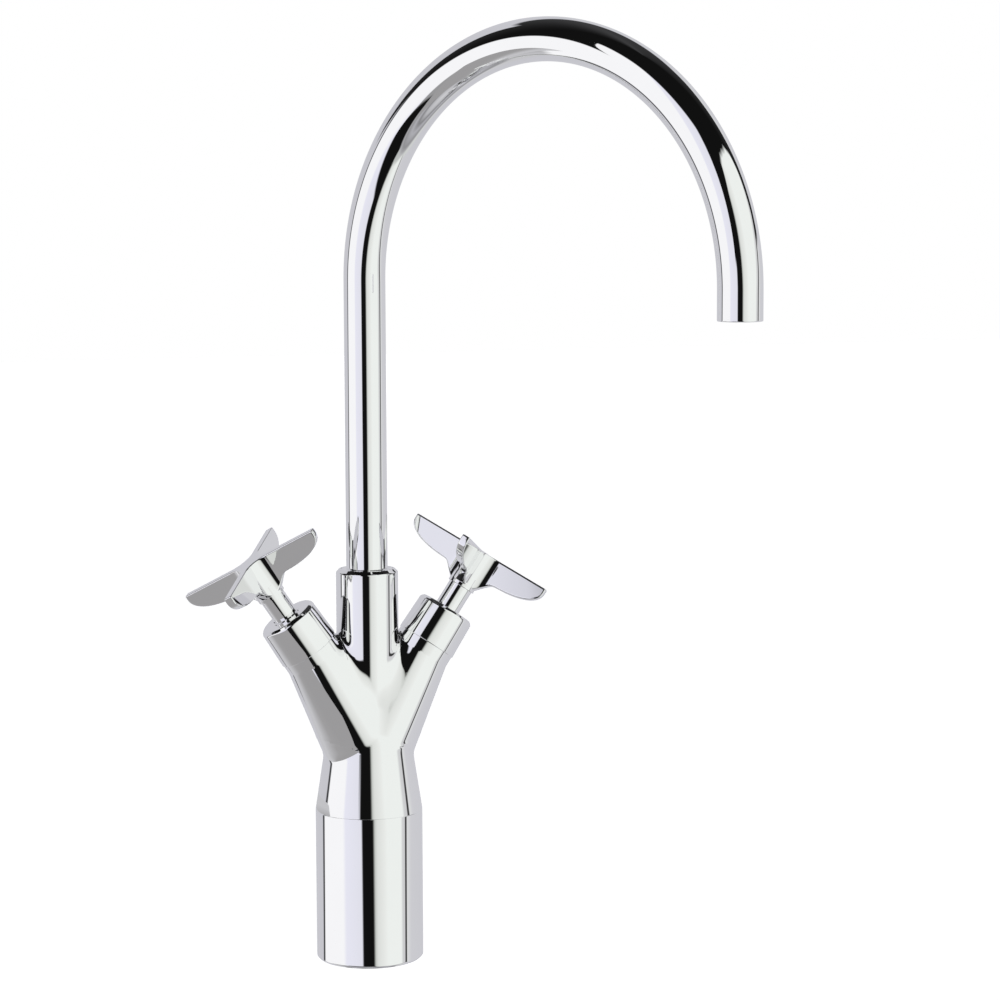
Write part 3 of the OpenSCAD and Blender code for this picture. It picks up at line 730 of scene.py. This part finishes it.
class TAP_OT_valve_body(bpy.types.Operator):
    """Makes the Y-shaped body: a turned core and two arms, run together with filled hollows"""
    bl_idname = "tap.valve_body"
    bl_label = "Valve body"
    bl_options = {"REGISTER", "UNDO"}

    def execute(self, context):
        body, column = context.scene.tap_body, context.scene.tap_column
        cell, foot, top = body.cell, column.height, COLLAR_TOP
        # As wide as the noses that stand out of the arms' ends, and a little deeper than the foot
        wide = (body.arm_length + 0.007) * math.sin(body.tilt) + 0.012
        deep = column.radius + 0.001
        # Coarse in the column, fine at the joint and at the collar's rim
        heights = np.concatenate([
            even(foot - 0.0243, foot - 0.0004, 0.0012)[:-1],
            even(foot - 0.0004, foot + 0.0012, 0.0004)[:-1],
            even(foot + 0.0012, top - 0.0022, cell)[:-1],
            even(top - 0.0022, top + 0.0003, 0.00027)])
        # A small shift keeps the grid's planes off the solid's own
        axes = [even(-wide, wide, cell) + 1.3e-5, even(-deep, deep, cell) + 1.7e-5, heights]
        shape = skin(*body_leaves(body, column), axes, cell)
        add_piece("y_body", shape, "body", ["valve_body"])
        return {"FINISHED"}


class TAP_OT_gland_nut(bpy.types.Operator):
    """Turns the nut that closes the collar round the tube"""
    bl_idname = "tap.gland_nut"
    bl_label = "Gland nut"
    bl_options = {"REGISTER", "UNDO"}

    def execute(self, context):
        radius, top, low = 0.01245, COLLAR_TOP, COLLAR_TOP - 0.0069
        bore, bevel = context.scene.tap_spout.radius + 0.0001, 0.0012
        edge, rim = 0.0002, 0.0003
        profile = rounded([
            (bore, low, edge), (radius, low, edge), (radius, top, rim),
            (bore + bevel, top, rim), (bore, top - bevel, rim)], spacing=0.003)
        shape = carried(profile, straight((0, 0, 0), UP), around=128)
        add_piece("collar_nut", shape, "body", ["gland_nut"])
        return {"FINISHED"}


class TAP_OT_spout(bpy.types.Operator):
    """Carries the tube's ring over the swan neck, with a rounded lip at the mouth"""
    bl_idname = "tap.spout"
    bl_label = "Swan neck"
    bl_options = {"REGISTER", "UNDO"}

    def execute(self, context):
        sizes = context.scene.tap_spout
        length = sizes.spring - sizes.foot + math.pi * sizes.bend + sizes.outlet
        inner, foot_edge, lip, inner_lip = sizes.radius - sizes.wall, 0.0003, 0.0005, 0.0004
        profile = rounded([
            (inner, 0, foot_edge), (sizes.radius, 0, foot_edge),
            (sizes.radius, length, lip), (inner, length, inner_lip)], spacing=0.0022)
        shape = carried(profile, swan_neck(sizes), around=96)
        add_piece("swan_neck", shape, "spout", ["spout_tube"])
        return {"FINISHED"}


class TAP_OT_bonnets(bpy.types.Operator):
    """Turns the two bonnets over the arms' ends"""
    bl_idname = "tap.bonnets"
    bl_label = "Bonnets"
    bl_options = {"REGISTER", "UNDO"}

    def execute(self, context):
        scene = context.scene
        handle, body = scene.tap_handle, scene.tap_body
        low, top = body.arm_length, body.arm_length + handle.bonnet_height
        inner, roof, hole = 0.01205, top - 0.0032, handle.stem + 0.0003
        bevel, bevel_edge, hole_bevel = 0.0015, 0.0014, 0.001
        foot_edge, edge, fine = 0.00035, 0.0002, 0.0001
        profile = rounded([
            (inner, low, fine), (handle.bonnet, low, foot_edge),
            (handle.bonnet_top, top - bevel, bevel_edge),
            (handle.bonnet_top - bevel, top, bevel_edge),
            (hole + hole_bevel, top, edge), (hole, top - hole_bevel, edge),
            (hole, roof, edge), (inner, roof, edge)], spacing=0.003, steps=8)
        for name, side in SIDES.items():
            shape = turned_on_arm(profile, side, body, scene.tap_column, around=160)
            add_piece(f"{name}_cap", shape, "body", [f"{name}_bonnet"])
        return {"FINISHED"}


class TAP_OT_stems(bpy.types.Operator):
    """Turns the sleeves between the bonnets and the handles"""
    bl_idname = "tap.stems"
    bl_label = "Stems"
    bl_options = {"REGISTER", "UNDO"}

    def execute(self, context):
        scene = context.scene
        handle, body = scene.tap_handle, scene.tap_body
        low = body.arm_length + 0.01425
        top = body.arm_length + handle.bonnet_height + HANDLE_RISE
        edge, foot_edge = 0.0002, 0.0003
        profile = rounded([
            (STEM_BORE, low, edge), (handle.stem, low, foot_edge),
            (handle.stem, top, edge), (STEM_BORE, top, edge)], spacing=0.002)
        for name, side in SIDES.items():
            shape = turned_on_arm(profile, side, body, scene.tap_column, around=96)
            add_piece(f"{name}_sleeve", shape, f"{name}_control", [f"{name}_stem"])
        return {"FINISHED"}


class TAP_OT_handles(bpy.types.Operator):
    """Makes the two cross handles with their curved lower edges, bores and screw holes"""
    bl_idname = "tap.handles"
    bl_label = "Handles"
    bl_options = {"REGISTER", "UNDO"}

    def execute(self, context):
        scene = context.scene
        handle, body, column = scene.tap_handle, scene.tap_body, scene.tap_column
        margin = 0.0006
        reach = handle.wing + margin
        # A small shift keeps the grid's planes off the solid's own
        flat = even(-reach, reach, handle.cell) + 1.1e-5
        axes = [flat, flat + 0.7e-5, even(-margin, handle.height + margin, handle.cell)]
        points, faces, normals = skin(*handle_leaves(handle), axes, handle.cell)
        low = body.arm_length + handle.bonnet_height + HANDLE_RISE
        cos, sin = math.cos(handle.turn), math.sin(handle.turn)
        for name, side in SIDES.items():
            along, across = arm_frame(side, body.tilt)
            basis = np.stack([
                cos * across + sin * ACROSS_ARMS, cos * ACROSS_ARMS - sin * across, along])
            placed = points @ basis + crossing(column) + low * along
            shape = placed, faces, normals @ basis
            add_piece(f"{name}_wings", shape, f"{name}_control", [f"{name}_handle"])
        return {"FINISHED"}


# Finishes

def node_adder(tree):
    """Empties a node tree and gives the function that adds a node with its links and values."""
    tree.nodes.clear()

    def add(kind, links=None, values=None, **settings):
        node = tree.nodes.new("ShaderNode" + kind)
        for key, value in settings.items():
            setattr(node, key, value)
        for key, value in (values or {}).items():
            node.inputs[key].default_value = value
        for key, socket in (links or {}).items():
            tree.links.new(socket, node.inputs[key])
        return node
    return add


def node_material(name):
    """An empty node material and the function that adds its nodes."""
    material = bpy.data.materials.get(name) or bpy.data.materials.new(name)
    material.use_nodes = True
    return material, node_adder(material.node_tree)


def ramp(add, source, stops):
    """A colour ramp with the stops (place, colour)."""
    node = add("ValToRGB", {"Fac": source})
    elements = node.color_ramp.elements
    while len(elements) > 1:
        elements.remove(elements[-1])
    elements[0].position, first = stops[0]
    elements[0].color = (*first, 1)
    for place, colour in stops[1:]:
        elements.new(place).color = (*colour, 1)
    return node.outputs["Color"]


def shade(colour, share):
    """The colour made darker or lighter, kept between 0 and 1."""
    return tuple(min(1.0, max(0.0, channel * share)) for channel in colour)


def noisy_material(
        name, colour, spread, fine, wide, dull, rough, relief, metallic=0.0, marks=(1, 1, 1)):
    """A material whose colour, roughness and relief vary with noise on Object coordinates.

    fine and wide are each a noise's (scale, detail). The fine one makes the relief, and marks
    stretches it in one direction, as turning and brushing marks are. The wide one mixes two
    tones, the spread darker and lighter than the colour. dull is (noise, low, high): as that
    noise goes from low to high, the roughness goes through the range rough.
    """
    material, add = node_material(name)
    place = add("TexCoord").outputs["Object"]
    moved = add("Mapping", {"Vector": place}, {"Scale": marks}).outputs["Vector"]
    noises = {}
    for key, vector, (scale, detail) in (("fine", moved, fine), ("wide", place, wide)):
        noise = add("TexNoise", {"Vector": vector}, {"Scale": scale, "Detail": detail})
        noises[key] = noise.outputs["Fac"]
    tint = ramp(add, noises["wide"], [
        (0.3, shade(colour, 1 - spread)), (0.7, shade(colour, 1 + spread))])
    source, low, high = dull
    gloss = add("MapRange", {"Value": noises[source]}, {
        "From Min": low, "From Max": high, "To Min": rough[0], "To Max": rough[1]})
    bump = add("Bump", {"Height": noises["fine"]}, {"Strength": 1.0, "Distance": relief})
    shader = add("BsdfPrincipled", {
        "Base Color": tint, "Roughness": gloss.outputs["Result"],
        "Normal": bump.outputs["Normal"]}, {"Metallic": metallic})
    add("OutputMaterial", {"Surface": shader.outputs["BSDF"]})


def metal(name, colour, grain, marks, rough, relief, spread):
    """A turned or brushed metal, or its plating, with a fine grain of the given scale."""
    noisy_material(
        name, colour, spread, (grain, 4.0), (35.0, 3.0), ("wide", 0.35, 0.75), rough, relief,
        metallic=1.0, marks=marks)


def moulded(name, colour, grain, rough, relief, spread=0.06):
    """A plastic, rubber or ceramic with mottled colour, uneven gloss and a fine grain."""
    noisy_material(
        name, colour, spread, (grain, 5.0), (60.0, 2.0), ("fine", 0.3, 0.7), rough, relief)


class TAP_OT_finishes(bpy.types.Operator):
    """Makes the finishes and gives each CAD node that stays in view the one of its slot"""
    bl_idname = "tap.finishes"
    bl_label = "Finishes"
    bl_options = {"REGISTER", "UNDO"}

    def execute(self, context):
        colours = context.scene.tap_finish
        metal("tap_chrome", colours.chrome, 900.0, (1, 1, 1), (0.012, 0.03), 1.5e-7, 0.006)
        metal("tap_brass", colours.brass, 260.0, (1, 1, 12), (0.16, 0.3), 6e-6, 0.08)
        metal("tap_steel", colours.steel, 420.0, (1, 1, 8), (0.2, 0.34), 4e-6, 0.05)
        moulded("tap_rubber", colours.rubber, 1400.0, (0.5, 0.7), 1.2e-5, 0.2)
        moulded("tap_ceramic", colours.ceramic, 2200.0, (0.12, 0.22), 2e-6, 0.02)
        moulded("tap_nylon", colours.nylon, 1200.0, (0.38, 0.52), 6e-6)
        moulded("tap_insert_plastic", colours.insert, 1500.0, (0.3, 0.45), 5e-6)
        for part in frame["record"]["subparts"]:
            node = frame["nodes"][part["node"]]
            material = bpy.data.materials["tap_" + part["material_slot"]]
            if not node.material_slots:
                node.data.materials.append(material)
            for slot in node.material_slots:
                slot.material = material
        return {"FINISHED"}


# Studio

def tent_colour(add):
    """The tent's colour by azimuth and height, as seen from the middle of the tap.

    Azimuth 0 is towards the camera and grows to the right, in degrees. The walls are a white
    sheet on the left, a lavender one, the dark gap that the camera looks through and a pale
    sheet on the right, with a narrow gap beyond each end; their upright edges lean with height,
    as flat sheets' edges do. tops gives the height at which each wall ends below the dark
    ceiling, and depths how far it goes down to the room's floor, whose middle is the nadir.
    """
    place = add("TexCoord").outputs["Object"]
    view = add("Mapping", {"Vector": place}, {
        "Location": (0, 0, -TENT_MIDDLE), "Rotation": (0, 0, ROOM_TURN)}).outputs["Vector"]
    direction = add("VectorMath", {0: view}, operation="NORMALIZE").outputs["Vector"]
    axes = add("SeparateXYZ", {"Vector": direction}).outputs

    def math_node(operation, *terms):
        links = {k: term for k, term in enumerate(terms) if hasattr(term, "links")}
        values = {k: term for k, term in enumerate(terms) if not hasattr(term, "links")}
        return add("Math", links, values, operation=operation).outputs[0]

    ahead = math_node("MULTIPLY", axes["Y"], -1.0)
    azimuth = math_node("DEGREES", math_node("ARCTAN2", axes["X"], ahead))
    height = math_node("DEGREES", math_node("ARCSINE", axes["Z"]))
    lean = add("MapRange", {"Value": math_node("ABSOLUTE", azimuth)}, {
        "From Min": 45.0, "From Max": 90.0, "To Min": 0.22, "To Max": -0.7}).outputs["Result"]
    leant = math_node("ADD", azimuth, math_node("MULTIPLY", lean, height))

    def by_degrees(source, stops):
        turn = add("MapRange", {"Value": source}, {"From Min": -180.0, "From Max": 180.0})
        return ramp(add, turn.outputs["Result"], [
            (0.5 + degrees / 360, colour) for degrees, colour in stops])

    def degrees_high(stops):
        grey = by_degrees(azimuth, [(place, (high / 90,) * 3) for place, high in stops])
        return math_node("MULTIPLY", grey, 90.0)

    def edge(source, limit, width):
        return add("MapRange", {"Value": math_node("SUBTRACT", source, limit)}, {
            "From Min": -width, "From Max": width}).outputs["Result"]

    def mixed(share, first, second):
        return add("Mix", {"Factor": share, "A": first, "B": second},
                   data_type="RGBA").outputs["Result"]

    back, pale, black = (0.60, 0.60, 0.64), (0.90, 0.93, 0.90), (0.006, 0.006, 0.006)
    white, grey = (0.985, 0.985, 1), (0.33, 0.33, 0.335)
    gap_left, gap_right, ceiling = (0.05, 0.05, 0.055), (0.04, 0.04, 0.04), (0.05, 0.05, 0.052)
    behind = (0.62, 0.62, 0.64)
    walls = by_degrees(leant, [
        (-180, back), (-110, back), (-109, gap_left), (-103.5, gap_left), (-102, white),
        (-58, white), (-53, (0.84, 0.84, 0.94)), (-20, (0.80, 0.80, 0.88)), (-17.8, black),
        (5, black), (7, (0.30, 0.31, 0.29)), (9, (0.60, 0.62, 0.59)), (14, (0.76, 0.78, 0.75)),
        (30, (0.86, 0.88, 0.85)), (36, pale), (77, pale), (82, (0.66, 0.67, 0.67)),
        (90, (0.64, 0.64, 0.65)), (91.5, gap_right), (96.5, gap_right),
        (98.5, (0.75, 0.76, 0.76)), (112, (0.64, 0.64, 0.67)), (180, back)])
    tops = degrees_high([
        (-180, 46), (-121, 48), (-118, 13), (-76, 13), (-73, 37), (-60, 39.5), (-25, 38),
        (-24, 5), (-1, 5), (0.5, 26), (15, 40), (30, 45), (52, 47), (80, 45), (96, 38), (102, 30),
        (104, 10), (119, 10), (122, 40), (140, 47), (180, 46)])
    depths = degrees_high([
        (-180, 50), (-125, 44), (-95, 38), (-53, 36), (-50, 26), (12, 26), (14, 50), (60, 56),
        (110, 50), (180, 50)])
    room = by_degrees(azimuth, [
        (-180, behind), (-120, (0.55, 0.55, 0.57)), (-100, grey), (-54, grey), (-50, black),
        (12, black), (16, (0.5, 0.52, 0.5)), (80, (0.66, 0.68, 0.66)), (180, behind)])
    fall = add("MapRange", {"Value": height}, {"From Min": -90.0, "From Max": -54.0})
    nadir = ramp(add, fall.outputs["Result"], [
        (0, (0.66, 0.66, 0.68)), (0.3, (0.5, 0.5, 0.52)), (0.45, (0.25, 0.25, 0.26)),
        (0.6, (0.45, 0.45, 0.48)), (0.8, (0.3, 0.3, 0.31)), (1, behind)])
    above = by_degrees(azimuth, [(-180, ceiling), (-90, black), (90, black), (180, ceiling)])
    below = mixed(edge(height, -57.0, 1.5), nadir, room)
    lower = mixed(edge(math_node("ADD", height, depths), 0.0, 1.5), below, walls)
    return mixed(edge(height, tops, 1.2), lower, above)


def seen_rays(add):
    """One for camera, glossy and transmission rays, and zero for the rest."""
    rays = add("LightPath").outputs
    seen = rays["Is Camera Ray"]
    for ray in ("Is Glossy Ray", "Is Transmission Ray"):
        seen = add("Math", {0: seen, 1: rays[ray]}, operation="MAXIMUM").outputs[0]
    return seen


def add_stage(name, points, faces, material):
    """Puts a stage surface into the scene."""
    mesh = bpy.data.meshes.new(name)
    mesh.from_pydata(points.tolist(), [], faces)
    mesh.materials.append(material)
    surface = bpy.data.objects.new(name, mesh)
    bpy.context.scene.collection.objects.link(surface)
    return surface


class TAP_OT_studio(bpy.types.Operator):
    """Sets the pale floor, the tent of soft light that the chrome mirrors, and the camera"""
    bl_idname = "tap.studio"
    bl_label = "Studio"
    bl_options = {"REGISTER", "UNDO"}

    def execute(self, context):
        scene = context.scene
        studio = scene.tap_studio
        self.make_tent(studio)
        self.make_card()
        self.make_floor(studio)
        self.make_world(scene)
        self.make_camera(scene, studio)
        scene.view_settings.view_transform = "Standard"
        return {"FINISHED"}

    def make_tent(self, studio):
        """A sphere by azimuth and height, closed by one point at each pole, that faces inwards."""
        around, rows = studio.segments, studio.segments // 2
        azimuth = np.linspace(0, 2 * math.pi, around, endpoint=False)[None, :]
        height = np.linspace(-math.pi / 2, math.pi / 2, rows + 1)[1:-1, None]
        ring = np.stack(np.broadcast_arrays(
            np.cos(height) * np.cos(azimuth), np.cos(height) * np.sin(azimuth),
            np.sin(height)), -1).reshape(-1, 3)
        points = np.concatenate([ring, [-UP, UP]]) * studio.radius + TENT_MIDDLE * UP
        row, turn = np.meshgrid(np.arange(rows - 2), np.arange(around), indexing="ij")
        after = (turn + 1) % around
        quads = np.stack([
            row * around + turn, (row + 1) * around + turn,
            (row + 1) * around + after, row * around + after], -1).reshape(-1, 4)
        turn, after = turn[0], after[0]
        last = (rows - 2) * around
        low = np.stack([np.full(around, len(ring)), turn, after], 1)
        high = np.stack([np.full(around, len(ring) + 1), last + after, last + turn], 1)
        material, add = node_material("studio_tent")
        light = add("Emission", {"Color": tent_colour(add)}, {"Strength": 1.0})
        add("OutputMaterial", {"Surface": light.outputs["Emission"]})
        faces = quads.tolist() + low.tolist() + high.tolist()
        tent = add_stage("studio_tent", points, faces, material)
        tent.visible_camera = tent.visible_shadow = False

    def make_card(self):
        """A low grey card to the left of the tap, which only the undersides of the arms mirror."""
        left, right, near, far, height = -0.45, -0.029, -0.20, 0.05, 0.0733
        material, add = node_material("studio_card")
        place = add("TexCoord").outputs["Object"]
        view = add("Mapping", {"Vector": place}, {"Rotation": (0, 0, ROOM_TURN)})
        depth = add("SeparateXYZ", {"Vector": view.outputs["Vector"]}).outputs["Y"]
        tone = add("MapRange", {"Value": depth}, {"From Min": -0.06, "From Max": 0.02})
        colour = ramp(add, tone.outputs["Result"], [
            (0, (0.35, 0.345, 0.35)), (0.4, (0.37, 0.365, 0.37)), (1, (0.58, 0.58, 0.60))])
        light = add("Emission", {"Color": colour}, {"Strength": 1.0})
        add("OutputMaterial", {"Surface": light.outputs["Emission"]})
        cos, sin = math.cos(ROOM_TURN), math.sin(ROOM_TURN)
        turned = np.array([[cos, -sin, 0], [sin, cos, 0]])
        corners = np.array([[left, near], [right, near], [right, far], [left, far]])
        points = corners @ turned + height * UP
        card = add_stage("studio_card", points, [[0, 1, 2, 3]], material)
        card.visible_camera = card.visible_diffuse = card.visible_shadow = False
        card.visible_transmission = False

    def make_floor(self, studio):
        """A square floor whose own light, for the rays that show it, lifts it to white."""
        material, add = node_material("studio_floor")
        place = add("TexCoord").outputs["Object"]
        mottle = add("TexNoise", {"Vector": place}, {"Scale": 9.0, "Detail": 2.0})
        tint = ramp(add, mottle.outputs["Fac"], [
            (0.3, shade(studio.floor, 0.99)), (0.7, shade(studio.floor, 1.01))])
        paper = add("BsdfDiffuse", {"Color": tint})
        glow = add("Emission", {"Strength": seen_rays(add)}, {"Color": (0.80, 0.80, 0.80, 1)})
        lit = add("AddShader", {0: paper.outputs["BSDF"], 1: glow.outputs["Emission"]})
        add("OutputMaterial", {"Surface": lit.outputs["Shader"]})
        half = 0.6 * studio.radius
        corners = half * np.array([[-1, -1, 0], [1, -1, 0], [1, 1, 0], [-1, 1, 0]])
        floor = add_stage("studio_floor", corners, [[0, 1, 2, 3]], material)
        floor.visible_glossy = False

    def make_world(self, scene):
        """A white backdrop for the rays that show it, and no light from it on the tap."""
        world = bpy.data.worlds.get("studio_world") or bpy.data.worlds.new("studio_world")
        world.use_nodes = True
        add = node_adder(world.node_tree)
        backdrop = add("Background", {"Strength": seen_rays(add)}, {"Color": (1, 1, 1, 1)})
        add("OutputWorld", {"Surface": backdrop.outputs["Background"]})
        scene.world = world

    def make_camera(self, scene, studio):
        """A camera below the arch's height, to the left, looking a little down and to the right.

        The heading is counted from +y towards +x, and the fall below the level.
        """
        place = -0.3901, -1.3605, 0.3783
        heading, fall, roll = (math.radians(angle) for angle in (18.61, 6.21, -0.22))
        data = bpy.data.cameras.new("studio_camera")
        data.lens, data.sensor_width, data.clip_end = studio.lens, 36.0, 50.0
        camera = bpy.data.objects.new("studio_camera", data)
        ahead = np.array([
            math.sin(heading) * math.cos(fall), math.cos(heading) * math.cos(fall),
            -math.sin(fall)])
        right = np.array([math.cos(heading), -math.sin(heading), 0])
        up = np.cross(right, ahead)
        basis = np.eye(4)
        basis[:3, 0] = math.cos(roll) * right + math.sin(roll) * up
        basis[:3, 1] = math.cos(roll) * up - math.sin(roll) * right
        basis[:3, 2], basis[:3, 3] = -ahead, place
        camera.matrix_world = Matrix(basis.tolist())
        scene.collection.objects.link(camera)
        scene.camera = camera


# Panel

OPERATORS = (
    TAP_OT_finishes, TAP_OT_column, TAP_OT_valve_body, TAP_OT_gland_nut, TAP_OT_spout,
    TAP_OT_bonnets, TAP_OT_stems, TAP_OT_handles, TAP_OT_studio)
GROUPS = {
    "tap_column": TapColumnSizes, "tap_body": TapBodySizes, "tap_spout": TapSpoutSizes,
    "tap_handle": TapHandleSizes, "tap_finish": TapFinishes, "tap_studio": TapStudio}


class VIEW3D_PT_tap(bpy.types.Panel):
    """Lists the tap's sizes and colours and the steps that make it"""
    bl_label = "Basin tap"
    bl_idname = "VIEW3D_PT_tap"
    bl_space_type = "VIEW_3D"
    bl_region_type = "UI"
    bl_category = "Tap"

    def draw(self, context):
        layout = self.layout
        for name, group in GROUPS.items():
            box = layout.box()
            box.label(text=group.__doc__)
            sizes = getattr(context.scene, name)
            for field in group.__annotations__:
                box.prop(sizes, field)
        for operator in OPERATORS:
            layout.operator(operator.bl_idname)


CLASSES = tuple(GROUPS.values()) + OPERATORS + (VIEW3D_PT_tap,)


def register():
    for kind in CLASSES:
        bpy.utils.register_class(kind)
    for name, group in GROUPS.items():
        setattr(bpy.types.Scene, name, PointerProperty(type=group))


def unregister():
    for name in GROUPS:
        delattr(bpy.types.Scene, name)
    for kind in reversed(CLASSES):
        bpy.utils.unregister_class(kind)


def main():
    """Makes the whole scene."""
    register()
    for operator in OPERATORS:
        group, name = operator.bl_idname.split(".")
        result = getattr(getattr(bpy.ops, group), name)()
        if result != {"FINISHED"}:
            raise RuntimeError(f"{operator.bl_label} wasn't made")


if __name__ == "__main__":
    main()
